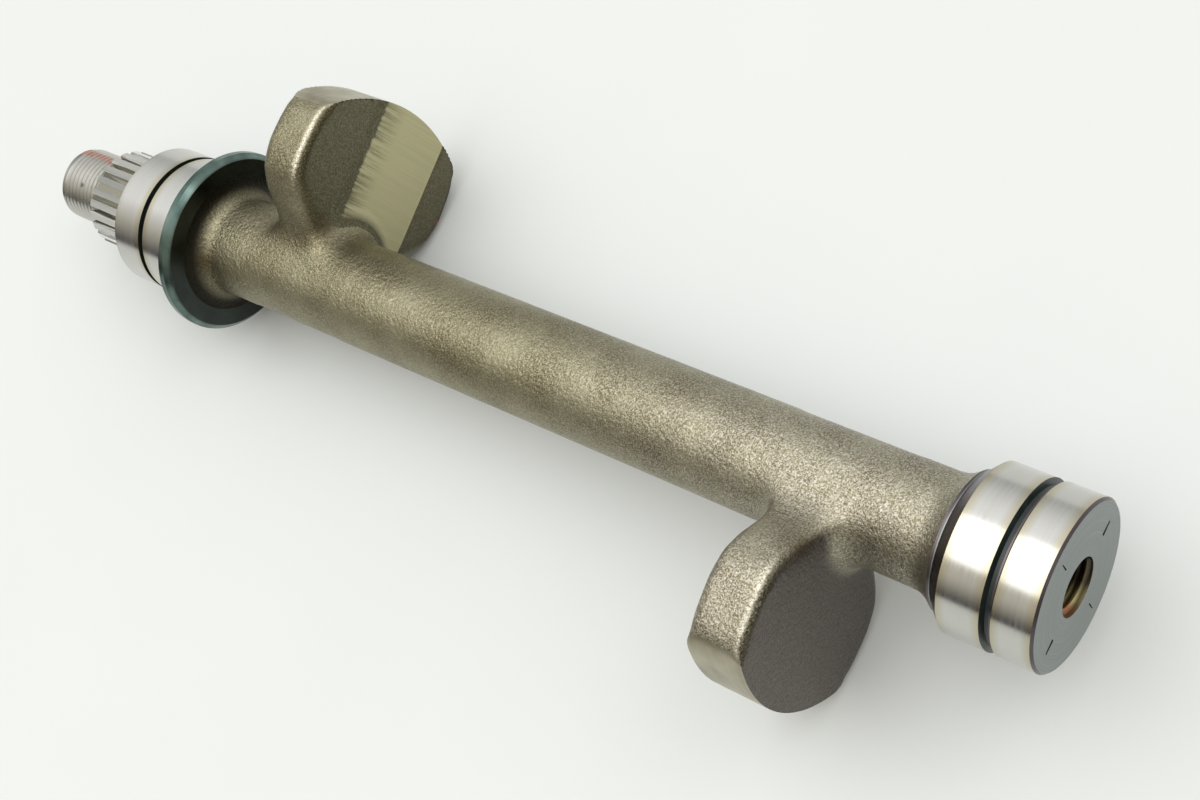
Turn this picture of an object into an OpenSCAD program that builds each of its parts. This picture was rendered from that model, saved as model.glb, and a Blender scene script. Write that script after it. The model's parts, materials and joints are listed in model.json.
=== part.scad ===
// Balance shaft of an engine, one steel forging turned and ground on its bearing places.
// From the near end to the drive end: a ground journal with an oil groove and a tapped end hole,
// a round forged stem carrying two opposite counterweights, a thrust flange, a second grooved
// journal, a short external spline and a threaded stub.
// The shaft lies as it comes to rest: on one flank of each counterweight and on the rim of the
// flange, so the axis climbs a little toward the near end.
// Stations along the shaft are measured from the near end face, in millimetres.

/* [Journals] */
// Diameter of both ground journals
journal_d = 30; // [24:0.5:36]
// Station where the near journal ends
near_journal_end = 16.8; // [12:0.1:24]
// Chamfer on the outer edges of the journals
journal_chamfer = 0.45; // [0.2:0.05:1]
// Width of the near oil groove at the surface
near_groove_w = 2; // [1:0.1:3]
// Station of the middle of the near oil groove
near_groove_at = 8.2; // [5:0.1:12]
// Width of the drive side oil groove
drive_groove_w = 1.4; // [0.8:0.1:2.5]
// Depth of both oil grooves
groove_depth = 1; // [0.5:0.1:1.6]

/* [Near end] */
// Thread size of the tapped hole
hole_thread_d = 10; // [6:1:14]
// Thread pitch of the tapped hole
hole_pitch = 1.5; // [1:0.25:2]
// Diameter of the circle of driver marks round the hole
driver_circle_d = 21; // [16:0.5:24]
// Depth of the tapped hole to the start of its drill point
hole_depth = 24; // [14:1:34]
// Diameter of the countersink at the mouth of the hole
hole_mouth_d = 10.3; // [7:0.1:15]
// Length of the turned slope behind the near journal
shoulder_slope = 2.5; // [1:0.1:4]
// Width of the turned ring between that slope and the forged stem
shoulder_ring = 0.6; // [0.3:0.1:2]
// Radius of the forged fillet behind the ring
shoulder_fillet = 2; // [1:0.1:3]

/* [Stem] */
// Diameter of the forged stem
stem_d = 20.8; // [16:0.1:24]
// Radius of the forged fillet against the flange
flange_fillet = 4.2; // [2:0.1:5]

/* [Counterweights] */
// Turned radius of both counterweights
weight_r = 38.3; // [32:0.1:44]
// Width of a counterweight across its forged flanks
lobe_w = 47.4; // [42:0.5:54]
// Radius of the slight forged bulge of a flank
flank_r = 40; // [30:1:60]
// Distance of the widest place of a counterweight from the shaft axis
lobe_offset = 21.5; // [18:0.1:24]
// Half angle of the forged shoulders that run from the stem to the outline
shoulder_angle = 60; // [50:1:75]
// Thickness of a counterweight along the shaft
weight_t = 10.8; // [7:0.1:14]
// Station of the near face of the near counterweight
near_weight_at = 38.2; // [30:0.1:60]
// Station of the near face of the far counterweight
far_weight_at = 164; // [140:0.1:170]
// Radius of the forged edges along the flanks of a counterweight
lobe_edge = 1.8; // [0.8:0.1:2.4]
// Radius of the forged edges along its shoulders, kept unlike the flank edges
shoulder_edge = 2.1; // [1.1:0.1:2.7]
// Radius of the forged fillet between stem and counterweight faces
web_fillet = 4.4; // [2:0.1:6]
// Radius of the forged fillet between stem and counterweight flanks
flank_fillet = 8; // [4:0.5:10]
// Width of the milled balancing strip on the far counterweight
strip_w = 21; // [10:0.5:30]
// Sideways place of the middle of that strip
strip_at = 3.7; // [-8:0.1:8]
// Depth of the milled balancing strip
strip_depth = 0.3; // [0.1:0.1:1]

/* [Drive end] */
// Diameter of the thrust flange
flange_d = 38.8; // [34:0.1:44]
// Station of the near face of the thrust flange
flange_at = 193.8; // [185:0.1:200]
// Thickness of the thrust flange
flange_t = 2.8; // [2.2:0.1:5]
// Chamfer on the far edge of the flange rim
flange_chamfer = 0.4; // [0.2:0.1:0.8]
// Wider chamfer on the near edge of the flange rim
flange_bevel = 1.1; // [0.4:0.1:1.2]
// Length of the drive side journal from flange to free edge
drive_journal_len = 19.9; // [14:0.1:26]
// Outer diameter of the spline
spline_d = 21.6; // [18:0.1:26]
// Number of spline teeth
spline_teeth = 24; // [16:1:32]
// Depth of a spline gap
spline_depth = 1.2; // [0.6:0.1:1.6]
// Width of a spline gap
spline_gap = 1.35; // [0.8:0.05:1.8]
// Length of the spline
spline_len = 13.2; // [8:0.1:20]
// Plain land between the journal face and the run-out of the gaps
spline_land = 1.2; // [0.5:0.1:3]
// Radius of the cutter that leaves the scooped run-out
spline_cutter_r = 4; // [2:0.1:8]
// Outer diameter of the threaded stub
stub_d = 16; // [10:0.5:18]
// Length of the threaded stub
stub_len = 13.8; // [8:0.1:20]
// Chamfer at the end of the threaded stub
stub_chamfer = 0.8; // [0.4:0.1:1.5]
// Mouth diameter of the centre hole in the threaded stub
centre_d = 5; // [2:0.1:8]

/* [Hidden] */
$fn = 72;
eps = 0.02;
journal_r = journal_d / 2;
stem_r = stem_d / 2;
flange_r = flange_d / 2;
flange_end = flange_at + flange_t;
drive_groove_at = flange_end + drive_journal_len * 0.54;
drive_journal_end = flange_end + drive_journal_len;
spline_end = drive_journal_end + spline_len;
total_len = spline_end + stub_len;
slope_end = near_journal_end + shoulder_slope;
ring_end = slope_end + shoulder_ring;
ring_r = stem_r + shoulder_fillet;
drill_r = (hole_thread_d - hole_pitch) / 2;
mouth_r = hole_mouth_d / 2;
drill_point = drill_r * tan(31);
// the shaft comes to rest on the bulged flanks of both weights and on the rim of the flange
rim_at = flange_end - flange_chamfer;
flank_centre = flank_r - lobe_w / 2;
weight_span = far_weight_at - near_weight_at;
rim_overhang = rim_at - (far_weight_at + weight_t - lobe_edge);
lean_reach = lobe_offset * (1 + 2 * rim_overhang / weight_span);
lean_drop = (flank_r - flange_r) / norm([lean_reach, flank_centre]);
// angle between straight down and the near weight, toward the viewer
lean = atan2(flank_centre, lean_reach) + acos(lean_drop);
// slope of the axis, and its height at the near end face
climb = atan(2 * lobe_offset * cos(lean) / weight_span);
near_height = flange_r * cos(climb) + rim_at * sin(climb);
// place of the near end face along the floor that leaves the shaft centred over the origin
near_lip = journal_r - journal_chamfer;
stub_lip = stub_d / 2 - stub_chamfer;
near_x = (total_len * cos(climb) - (near_lip - stub_lip) * sin(climb)) / 2;

// half section of everything turned on the shaft axis, station upward
module turned_half() {
    polygon([
        [0, 0],
        [journal_r - journal_chamfer, 0],
        [journal_r, journal_chamfer],
        [journal_r, near_groove_at - near_groove_w / 2],
        [journal_r - groove_depth, near_groove_at - near_groove_w / 4],
        [journal_r - groove_depth, near_groove_at + near_groove_w / 4],
        [journal_r, near_groove_at + near_groove_w / 2],
        [journal_r, near_journal_end],
        [ring_r, slope_end],
        [ring_r, ring_end],
        [stem_r, ring_end],
        [stem_r, flange_at],
        [flange_r - flange_bevel, flange_at],
        [flange_r, flange_at + flange_bevel],
        [flange_r, flange_end - flange_chamfer],
        [flange_r - flange_chamfer, flange_end],
        [journal_r, flange_end],
        [journal_r, drive_groove_at - drive_groove_w / 2],
        [journal_r - groove_depth, drive_groove_at - drive_groove_w / 2],
        [journal_r - groove_depth, drive_groove_at + drive_groove_w / 2],
        [journal_r, drive_groove_at + drive_groove_w / 2],
        [journal_r, drive_journal_end - 2 * journal_chamfer],
        [journal_r - 2 * journal_chamfer, drive_journal_end],
        [spline_d / 2, drive_journal_end],
        [spline_d / 2, spline_end - journal_chamfer],
        [spline_d / 2 - journal_chamfer, spline_end],
        [stub_d / 2, spline_end],
        [stub_d / 2, total_len - stub_chamfer],
        [stub_d / 2 - stub_chamfer, total_len],
        [0, total_len]
    ]);
}

// concave corner of radius q between the stem and a shoulder that stands at one side of it
module stem_corner(q) {
    difference() {
        translate([stem_r - 1, -q])
            square([q + 1, q + 1]);
        translate([stem_r + q + eps, -q])
            circle(r = q);
    }
}

module turned_body() {
    rotate_extrude()
        union() {
            turned_half();
            translate([0, flange_at])
                stem_corner(flange_fillet);
            translate([0, ring_end])
                mirror([0, 1])
                    intersection() {
                        stem_corner(shoulder_fillet);
                        translate([0, -shoulder_fillet])
                            square([ring_r, shoulder_fillet + 0.3]);
                    }
        }
}

// concave corners between the stem and the two shoulders of a counterweight
module shoulder_corners() {
    near = stem_r + flank_fillet;
    turn = shoulder_angle + asin(flank_fillet / near);
    foot = near * cos(turn - shoulder_angle);
    for (side = [-1, 1])
        difference() {
            polygon([[0, 0],
                foot * [cos(shoulder_angle - 8), side * sin(shoulder_angle - 8)],
                foot * [cos(shoulder_angle), side * sin(shoulder_angle)],
                near * [cos(turn), side * sin(turn)]]);
            translate(near * [cos(turn), side * sin(turn)])
                circle(r = flank_fillet + eps);
        }
}

// forged outline of a counterweight: bulged flanks above two shoulders that start at the stem
module lobe_outline() {
    reach = 2 * weight_r;
    union() {
        intersection() {
            for_flank(1)
                circle(r = flank_r);
            for_flank(-1)
                circle(r = flank_r);
            polygon([[0, 0],
                reach * [cos(shoulder_angle), sin(shoulder_angle)],
                reach * [2, 0],
                reach * [cos(shoulder_angle), -sin(shoulder_angle)]]);
        }
        shoulder_corners();
    }
}

// moves a shape to the middle of curvature of one flank
module for_flank(side) {
    translate([lobe_offset, side * (lobe_w / 2 - flank_r), 0])
        children();
}

// section of a forged plate as thick as a counterweight, from x = 0 to round edges at x = reach
module plate_section(reach, edge) {
    union() {
        square([reach - edge, weight_t]);
        translate([0, edge])
            square([reach, weight_t - 2 * edge]);
        for (h = [edge, weight_t - edge])
            translate([reach - edge, h])
                circle(r = edge);
    }
}

// plate whose round edge runs along one shoulder of a counterweight
module shoulder_plate() {
    rotate([0, 0, 90 + shoulder_angle])
        rotate([90, 0, 0])
            translate([-2 * weight_r, 0, -2 * weight_r])
                linear_extrude(4 * weight_r)
                    plate_section(2 * weight_r, shoulder_edge);
}

// forged lobe with round edges: what two wide discs and two shoulder plates have in common
module lobe_disc() {
    intersection() {
        for_flank(1)
            rotate_extrude()
                plate_section(flank_r, lobe_edge);
        for_flank(-1)
            rotate_extrude()
                plate_section(flank_r, lobe_edge);
        shoulder_plate();
        mirror([0, 1, 0])
            shoulder_plate();
    }
}

// fillet ring round the stem on both faces of a counterweight, kept inside its outline
module web_ring() {
    intersection() {
        rotate_extrude()
            union() {
                translate([0, -web_fillet])
                    intersection() {
                        translate([0, web_fillet])
                            stem_corner(web_fillet);
                        square([stem_r + web_fillet, 2 * web_fillet]);
                    }
                translate([stem_r - 1, 0])
                    square([web_fillet + 1, weight_t]);
                translate([0, weight_t + web_fillet])
                    mirror([0, 1])
                        intersection() {
                            translate([0, web_fillet])
                                stem_corner(web_fillet);
                            square([stem_r + web_fillet, 2 * web_fillet]);
                        }
            }
        translate([0, 0, -web_fillet - 1])
            linear_extrude(weight_t + 2 * web_fillet + 2)
                lobe_outline();
    }
}

module counterweight() {
    intersection() {
        union() {
            lobe_disc();
            web_ring();
            linear_extrude(weight_t)
                shoulder_corners();
        }
        translate([0, 0, -20])
            cylinder(r = weight_r, h = weight_t + 40);
    }
}

// milled flat that trims the far counterweight and stops at the fillet round the stem
module balancing_strip() {
    difference() {
        translate([0, strip_at - strip_w / 2, -1])
            cube([2 * weight_r, strip_w, 1 + strip_depth]);
        translate([0, 0, -2])
            cylinder(r = stem_r + web_fillet + 0.2, h = 4);
    }
}

// straight sided spline gaps with the scooped run-out of a round cutter
module spline_gaps() {
    root = spline_d / 2 - spline_depth;
    start = drive_journal_end + spline_land + sqrt(2 * spline_cutter_r * spline_depth);
    for (k = [0 : spline_teeth - 1])
        rotate([0, 0, k * 360 / spline_teeth])
            rotate([90, 0, 0])
                translate([0, 0, -spline_gap / 2])
                    linear_extrude(spline_gap)
                        union() {
                            translate([root, start])
                                square([spline_depth + 2, spline_end - start + 1]);
                            translate([root + spline_cutter_r, start + eps])
                                circle(r = spline_cutter_r);
                        }
}

// tapped hole with countersink and drill point, and the centre hole of the other end
module end_holes() {
    rotate_extrude()
        polygon([
            [0, -1],
            [mouth_r + 1, -1],
            [drill_r, mouth_r - drill_r],
            [drill_r, hole_depth],
            [0, hole_depth + drill_point]
        ]);
    translate([0, 0, total_len - centre_d * 0.866])
        cylinder(r1 = 0, r2 = centre_d / 2 + 0.577, h = centre_d * 0.866 + 1);
}

// the four radial bites left in the near face by the pins that drove it in the lathe
module driver_marks() {
    for (a = [10 : 90 : 280])
        rotate([0, 0, a])
            translate([driver_circle_d / 2, 0, 0])
                cube([2.6, 0.3, 0.3], center = true);
}

module shaft_upright() {
    difference() {
        union() {
            turned_body();
            translate([0, 0, near_weight_at])
                counterweight();
            translate([0, 0, far_weight_at])
                difference() {
                    rotate([0, 0, 180])
                        counterweight();
                    rotate([0, 0, 180])
                        balancing_strip();
                }
        }
        spline_gaps();
        end_holes();
        driver_marks();
    }
}

module balance_shaft() {
    color([0.5, 0.47, 0.4])
        translate([near_x, 0, near_height])
            rotate([0, -climb, 0])
                rotate([0, -90, 0])
                    rotate([0, 0, 180 + lean])
                        shaft_upright();
}

balance_shaft();
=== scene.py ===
# %% [markdown]
# # Dressing a forged balance shaft
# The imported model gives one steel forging, lying on one flank of each counterweight and on the rim of
# its thrust flange. This lesson keeps every place and size of it and gives each stretch of the shaft
# the skin that the workshop left there: blasted forging, turned rims, ground journals, black oxide, a
# cut thread.

# %% Load the frame
import json
import math

import bmesh
import bpy
import numpy as np
from mathutils import Matrix, Vector


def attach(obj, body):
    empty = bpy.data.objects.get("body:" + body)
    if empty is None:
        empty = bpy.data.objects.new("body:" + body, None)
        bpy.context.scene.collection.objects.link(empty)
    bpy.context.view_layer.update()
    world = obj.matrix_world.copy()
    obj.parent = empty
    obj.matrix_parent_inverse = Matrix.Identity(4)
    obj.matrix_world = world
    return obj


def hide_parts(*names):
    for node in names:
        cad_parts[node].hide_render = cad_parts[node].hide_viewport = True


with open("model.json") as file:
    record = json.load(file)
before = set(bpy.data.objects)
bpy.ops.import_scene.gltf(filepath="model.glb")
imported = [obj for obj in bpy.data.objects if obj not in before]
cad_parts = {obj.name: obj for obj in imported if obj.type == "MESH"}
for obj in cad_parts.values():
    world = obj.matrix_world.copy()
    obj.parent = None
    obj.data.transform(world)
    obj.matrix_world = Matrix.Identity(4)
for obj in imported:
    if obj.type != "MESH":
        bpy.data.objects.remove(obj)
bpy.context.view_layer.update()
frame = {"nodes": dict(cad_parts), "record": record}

MM = 0.001
solid = frame["nodes"]["balance_shaft"]
mounts = {m["name"]: m for m in frame["record"]["mounts"]}
print("frame:", len(solid.data.polygons), "faces, mounts", sorted(mounts))

# %% [markdown]
# ## The shaft's own axes
# Everything on a shaft is said as a station along it and a radius from its axis, so each piece gets the
# shaft's axes as its own: z runs from the near end face to the drive end, x points at the near
# counterweight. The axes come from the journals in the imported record. Because the pieces keep these
# local axes, a texture can read station and radius straight from its object coordinates.

# %% Axes from the journals
LEAN = 81.2226              # near weight, from straight down toward the viewer, in degrees
JOURNAL_FROM = 9.2          # the plain stretch of the near journal, stations in mm
JOURNAL_TO = 16.8

toward_near = Vector(mounts["near_journal"]["axis"]).normalized()
near_face = Vector(mounts["near_journal"]["pos_m"]) + toward_near * (JOURNAL_FROM + JOURNAL_TO) / 2 * MM
toward_viewer = Vector((0.0, -1.0, 0.0))
z_axis = -toward_near
down = toward_viewer.cross(z_axis)
x_axis = down * math.cos(math.radians(LEAN)) + toward_viewer * math.sin(math.radians(LEAN))
y_axis = z_axis.cross(x_axis)
shaft_axes = Matrix((x_axis, y_axis, z_axis)).transposed().to_4x4()
shaft_axes.translation = near_face
print("near end face at", [round(c / MM, 2) for c in near_face], "mm")

# %% [markdown]
# ## Sizes
# Radii and stations of what the lathe, the grinder and the spline cutter left, in millimetres. Nearly
# all of them are the solid's own; the thread's ridges, tints and overlaps belong to this dressing.

# %% Sizes of the turned places
JOURNAL_R = 15.0
JOURNAL_CHAMFER = 0.45
NEAR_GROOVE = (7.2, 9.2)
GROOVE_DEPTH = 1.0
GROOVE_SLOPE = 0.5          # how far the walls of the near groove lean
GROOVE_LIGHT_LINE = 0.3           # lighter stripe on its floor, a painted highlight
SLOPE_END = 19.3
RING_END = 19.9
RING_R = 12.4
RING_LINE = 0.2             # bright line where slope and ring meet
FLARE_LEN = 4.5             # forged flare from the ring down to the stem
STEM_R = 10.4
WEIGHT_R = 38.3
WEIGHT_T = 10.8
NEAR_WEIGHT = 38.2
FAR_WEIGHT = 164.0
WEB_FILLET = 4.4
STRIP_Y = (-14.2, 6.8)      # milled strip on the far weight, across the shaft
STRIP_DEPTH = 0.3
FLANGE_R = 19.4
FLANGE_AT = 193.8
FLANGE_END = 196.6
FLANGE_BEVEL = 1.1
FLANGE_CHAMFER = 0.4
FLANGE_FILLET = 4.2
DRIVE_GROOVE = (206.65, 208.05)
DRIVE_END = 216.5
SPLINE_R = 10.8
SPLINE_END = 229.7
STUB_R = 8.0
TOTAL = 243.5
STUB_CHAMFER = 0.8
STUB_PITCH = 1.25
STUB_RIDGE = 0.32           # height of the thread's ridge
STUB_ROOT_R = STUB_R - STUB_RIDGE
CENTRE_R = 2.5              # centre hole in the stub's end
CENTRE_DEPTH = 4.3
HOLE_PITCH = 1.25
HOLE_CREST_R = 4.25
HOLE_ROOT_R = 5.0
HOLE_MOUTH_R = 5.15
HOLE_DEPTH = 24.0
DRILL_POINT = 2.6           # the drill's cone at the bottom of the hole
MOUTH_EASE = 0.05           # the countersink starts this far outside the mouth
PROUD = 0.03                # turned skins lie this far outside the forging, so that only one shows
COLLAR_PROUD = 0.05
TUCK = 1.0                  # a turned piece starts this far inside its neighbour
print("shaft", TOTAL, "mm long, journals", 2 * JOURNAL_R, "mm")

# %% [markdown]
# ## Small helpers
# One function turns an sRGB hex colour to the linear numbers that shaders want, one gives the texture
# scale for a real size, and one adds a shader node with its settings and links. Links are given as what
# they come from: a node stands for its first output in use, so a chain of nodes reads like a sentence.

# %% Colour, scale and node helpers
def linear(code):
    """An sRGB hex colour as linear RGBA."""
    parts = [int(code[i:i + 2], 16) / 255 for i in (1, 3, 5)]
    return tuple(c / 12.92 if c <= 0.04045 else ((c + 0.055) / 1.055) ** 2.4 for c in parts) + (1.0,)


def per_mm(size):
    """Texture scale, in object coordinates of a metre, whose features measure this many millimetres."""
    return 1.0 / (size * MM)


def wire(tree, node, wires):
    """Fills sockets of a node: with a number, a hex colour, a link, or the output of another node."""
    for socket, value in wires.items():
        if isinstance(value, bpy.types.Node):
            value = next(output for output in value.outputs if output.enabled)
        if isinstance(value, bpy.types.NodeSocket):
            tree.links.new(value, node.inputs[socket])
        else:
            node.inputs[socket].default_value = linear(value) if isinstance(value, str) else value


def add(tree, kind, wires=None, **settings):
    """One shader node: settings are its own, wires fill its sockets."""
    made = tree.nodes.new("ShaderNode" + kind)
    for name, value in settings.items():
        setattr(made, name, value)
    wire(tree, made, wires or {})
    return made


def new_material(name):
    """A material with its shader; returns the material, its tree and the shader."""
    made = bpy.data.materials.new(name)
    made.use_nodes = True
    return made, made.node_tree, made.node_tree.nodes["Principled BSDF"]


print("bright steel", [round(c, 3) for c in linear("#C9C8C4")[:3]])

# %% [markdown]
# ## Forged and blasted steel
# The stem and the weights keep the skin of the forging: scale knocked off by steel shot, which leaves
# shallow dimples under a millimetre wide, in an olive grey with faint stains. Paler grain points paint
# the glitter of those dimples, a painted highlight that is paler still near the near end, where the
# flanks catch more light. Faces that look at the near end get painted shade, greyer on the near weight
# as a painted reflection of the dim side of the room. A noise of 0.3 mm makes the grain, one of 12 mm
# the stains, and the part of the normal along the shaft finds the shaded faces.

# %% Forging: skin and grain
# gives the eye an olive grey with painted glints in fine points, and painted shade on the faces that look
# at the near end
forged, tree, shader = new_material("blasted_forged_steel")
where = add(tree, "TexCoord").outputs["Object"]
stain = add(tree, "TexNoise", {"Vector": where, "Scale": per_mm(12.0), "Detail": 5.0, "Roughness": 0.6})
grain = add(tree, "TexNoise", {"Vector": where, "Scale": per_mm(0.3), "Detail": 3.0, "Roughness": 0.6})
dimple_at = {"Vector": where, "Scale": per_mm(0.7)}
dimple = add(tree, "TexVoronoi", dimple_at, feature="SMOOTH_F1")
stain_share = add(tree, "MapRange", {0: stain, 1: 0.36, 2: 0.66})
grain_share = add(tree, "MapRange", {0: grain, 1: 0.4, 2: 0.76})
skin = add(tree, "Mix", {0: stain_share, 6: "#665E43", 7: "#8B866C"}, data_type="RGBA")
facing = add(tree, "SeparateXYZ", {0: add(tree, "TexCoord").outputs["Normal"]})
place = add(tree, "SeparateXYZ", {0: where})
# painted shade: faces that look at the near end are darker
painted_shade_share = add(tree, "MapRange", {0: facing.outputs["Z"], 1: -0.8, 2: -0.98})
far_off = add(tree, "MapRange", {0: place.outputs["Z"], 1: 50.0 * MM, 2: 110.0 * MM})
# painted highlight: the glints are paler near the near end, where the flanks catch more light
glint = add(tree, "Mix", {0: far_off, 6: "#CEC8BD", 7: "#ABA68F"}, data_type="RGBA")
spark = add(tree, "Mix", {0: grain_share, 6: skin, 7: glint}, data_type="RGBA")
# the painted shade is greyer on the near weight, a painted reflection of the dim front of the room
dark = add(tree, "Mix", {0: far_off, 6: "#58524C", 7: "#57533F"}, data_type="RGBA")
light = add(tree, "Mix", {0: far_off, 6: "#7C756E", 7: "#7D7966"}, data_type="RGBA")
shade = add(tree, "Mix", {0: grain_share, 6: dark, 7: light}, data_type="RGBA")
tone = add(tree, "Mix", {0: painted_shade_share, 6: spark, 7: shade}, data_type="RGBA")
print("skin and grain of", forged.name)

# %% [markdown]
# ## Edges of the weights
# The round edge between flank and face carries a painted highlight on the flank's side, where it would
# catch the light above, and painted shade, a dark olive line, on the face's side. Both are bands of the
# normal along the shaft: it is 0 on a flank and -1 on a face that looks at the near end. The grain
# breaks them up, and only the weights have them.

# %% Forging: painted highlight and shade on the edges
reach = add(tree, "Math", {0: place.outputs["X"]}, operation="ABSOLUTE")
on_weight = add(tree, "MapRange", {0: reach, 1: 13.0 * MM, 2: 18.0 * MM})
edge_highlight_from = add(tree, "MapRange", {0: facing.outputs["Z"], 1: -0.14, 2: -0.3})
edge_highlight_to = add(tree, "MapRange", {0: facing.outputs["Z"], 1: -0.56, 2: -0.4})
edge_highlight_and_paint_wear = add(tree, "Math", {0: edge_highlight_from, 1: edge_highlight_to}, operation="MULTIPLY")
edge_highlight_and_paint_wear = add(tree, "Math", {0: edge_highlight_and_paint_wear, 1: on_weight}, operation="MULTIPLY")
highlight_broken = add(tree, "MapRange", {0: grain, 1: 0.35, 2: 0.62, 3: 0.12, 4: 0.85})
edge_highlight_and_paint_wear = add(tree, "Math", {0: edge_highlight_and_paint_wear, 1: highlight_broken}, operation="MULTIPLY")
edge_shade_from = add(tree, "MapRange", {0: facing.outputs["Z"], 1: -0.5, 2: -0.7})
edge_shade_to = add(tree, "MapRange", {0: facing.outputs["Z"], 1: -0.999, 2: -0.97})
painted_edge_shade = add(tree, "Math", {0: edge_shade_from, 1: edge_shade_to}, operation="MULTIPLY")
painted_edge_shade = add(tree, "Math", {0: painted_edge_shade, 1: on_weight}, operation="MULTIPLY")
edge_shade_broken = add(tree, "MapRange", {0: grain, 1: 0.35, 2: 0.7, 3: 0.95, 4: 0.45})
painted_edge_shade = add(tree, "Math", {0: painted_edge_shade, 1: edge_shade_broken}, operation="MULTIPLY")
# painted highlight on the flank's side of the rounded edges, painted shade on the face's side
tone = add(tree, "Mix", {0: edge_highlight_and_paint_wear, 6: tone, 7: "#DED7C8"}, data_type="RGBA")
tone = add(tree, "Mix", {0: painted_edge_shade, 6: tone, 7: "#3B3621"}, data_type="RGBA")
print("edges of", forged.name)

# %% [markdown]
# ## Paint and residue
# One touch of red paint sits on the far weight: a small ball in space, broken up by the grain. The skin
# turns brown where each weight leaves the stem and on the fillet before the flange, and the black of the
# flange creeps a little over that fillet. Last come the roughness and the relief of the whole skin.

# %% Forging: paint, residue and relief
RED_TOUCH = (-20.6, -22.2, 164.5)   # place of the paint on the far weight, in mm
BROWN_ROOTS = ((12.0, 17.0, 38.6), (-8.2, 11.5, 163.6), (6.6, 9.2, 192.2))     # places in mm
touch = add(tree, "VectorMath", {0: where, 1: tuple(c * MM for c in RED_TOUCH)}, operation="DISTANCE")
touch = add(tree, "MapRange", {0: touch, 1: 0.9 * MM, 2: 0.5 * MM})
painted = add(tree, "Math", {0: touch, 1: grain}, operation="MULTIPLY")
tone = add(tree, "Mix", {0: painted, 6: tone, 7: "#B8402A"}, data_type="RGBA")
for crevice in BROWN_ROOTS:
    brown = add(tree, "VectorMath", {0: where, 1: tuple(c * MM for c in crevice)}, operation="DISTANCE")
    brown = add(tree, "MapRange", {0: brown, 1: 5.0 * MM, 2: 1.0 * MM})
    brown = add(tree, "Math", {0: brown, 1: stain_share}, operation="MULTIPLY")
    tone = add(tree, "Mix", {0: brown, 6: tone, 7: "#4F3B20"}, data_type="RGBA")
creep = add(tree, "MapRange", {0: place.outputs["Z"], 1: (FLANGE_AT - 2.5) * MM, 2: (FLANGE_AT - 0.4) * MM})
tone = add(tree, "Mix", {0: creep, 6: tone, 7: "#2B2921"}, data_type="RGBA")
rough = add(tree, "MapRange", {0: grain, 1: 0.3, 2: 0.75, 3: 0.47, 4: 0.33})
height = add(tree, "Math", {0: grain, 1: dimple.outputs["Distance"]}, operation="ADD")
bump = add(tree, "Bump", {"Height": height, "Strength": 0.7, "Distance": 0.16 * MM})
wire(tree, shader, {"Base Color": tone, "Metallic": 1.0, "Roughness": rough, "Normal": bump})
print("made", forged.name)

# %% [markdown]
# ## Turned rim of the weights
# The outer arc of each weight was turned on a lathe, so it is lighter and carries fine feed lines that
# run round the shaft. Stretching a noise along the circle, with a short step of 0.35 mm along the
# shaft, draws those lines. The real feed is finer, and this is as coarse as it has to be to show.

# %% Material of the turned rims
# gives the eye a paler, silky band with lines round the shaft
turned_rim, tree, shader = new_material("turned_forging_rim")
where = add(tree, "TexCoord").outputs["Object"]
lines_at = add(tree, "Mapping", {"Vector": where, "Scale": (per_mm(30), per_mm(30), per_mm(0.35))})
lines = add(tree, "TexNoise", {"Vector": lines_at, "Scale": 1.0, "Detail": 2.0})
patch = add(tree, "TexNoise", {"Vector": where, "Scale": per_mm(7.0), "Detail": 4.0})
blend = add(tree, "MapRange", {0: patch, 1: 0.35, 2: 0.68})
tone = add(tree, "Mix", {0: blend, 6: "#97917C", 7: "#B6B09C"}, data_type="RGBA")
rough = add(tree, "MapRange", {0: lines, 1: 0.3, 2: 0.7, 3: 0.3, 4: 0.46})
bump = add(tree, "Bump", {"Height": lines, "Strength": 0.25, "Distance": 0.03 * MM})
wire(tree, shader, {"Base Color": tone, "Metallic": 1.0, "Roughness": rough, "Normal": bump})
print("made", turned_rim.name)

# %% [markdown]
# ## Milled balancing strip
# A shallow cut on the far weight trims the balance. The cutter left clean olive metal with fine lines
# across it. One edge is sharp; along the other the old skin fades into the cut in streaks, because the
# cutter only grazed it there. The face is one material: station and normal are the same on both sides,
# so a mask on the sideways place, pushed about by a noise stretched along the streaks, parts the milled
# metal from the forging.

# %% Material of the milled face
# gives the eye clean olive metal with a soft sheen, which frays into the skin and its painted shade
milled, tree, shader = new_material("milled_strip_on_forging")
where = add(tree, "TexCoord").outputs["Object"]
place = add(tree, "SeparateXYZ", {0: where})
sideways = place.outputs["Y"]
comb_at = add(tree, "Mapping", {"Vector": where, "Scale": (per_mm(0.7), per_mm(14), per_mm(5))})
comb = add(tree, "TexNoise", {"Vector": comb_at, "Scale": 1.0, "Detail": 3.0, "Roughness": 0.7})
push = add(tree, "MapRange", {0: comb, 1: 0.3, 2: 0.7, 3: -0.4 * MM, 4: 0.6 * MM})
ragged = add(tree, "Math", {0: sideways, 1: push}, operation="ADD")
comb_side = add(tree, "MapRange", {0: ragged, 1: (STRIP_Y[1] + 0.3) * MM, 2: (STRIP_Y[1] - 0.4) * MM})
teeth = add(tree, "MapRange", {0: comb, 1: 0.42, 2: 0.6})
fading = add(tree, "MapRange", {0: sideways, 1: (STRIP_Y[1] - 7.0) * MM, 2: STRIP_Y[1] * MM, 4: 0.8})
streaked = add(tree, "Math", {0: teeth, 1: fading}, operation="MULTIPLY")
cleared = add(tree, "Math", {0: 1.0, 1: streaked}, operation="SUBTRACT")
past_comb = add(tree, "Math", {0: comb_side, 1: cleared}, operation="MULTIPLY")
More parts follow.
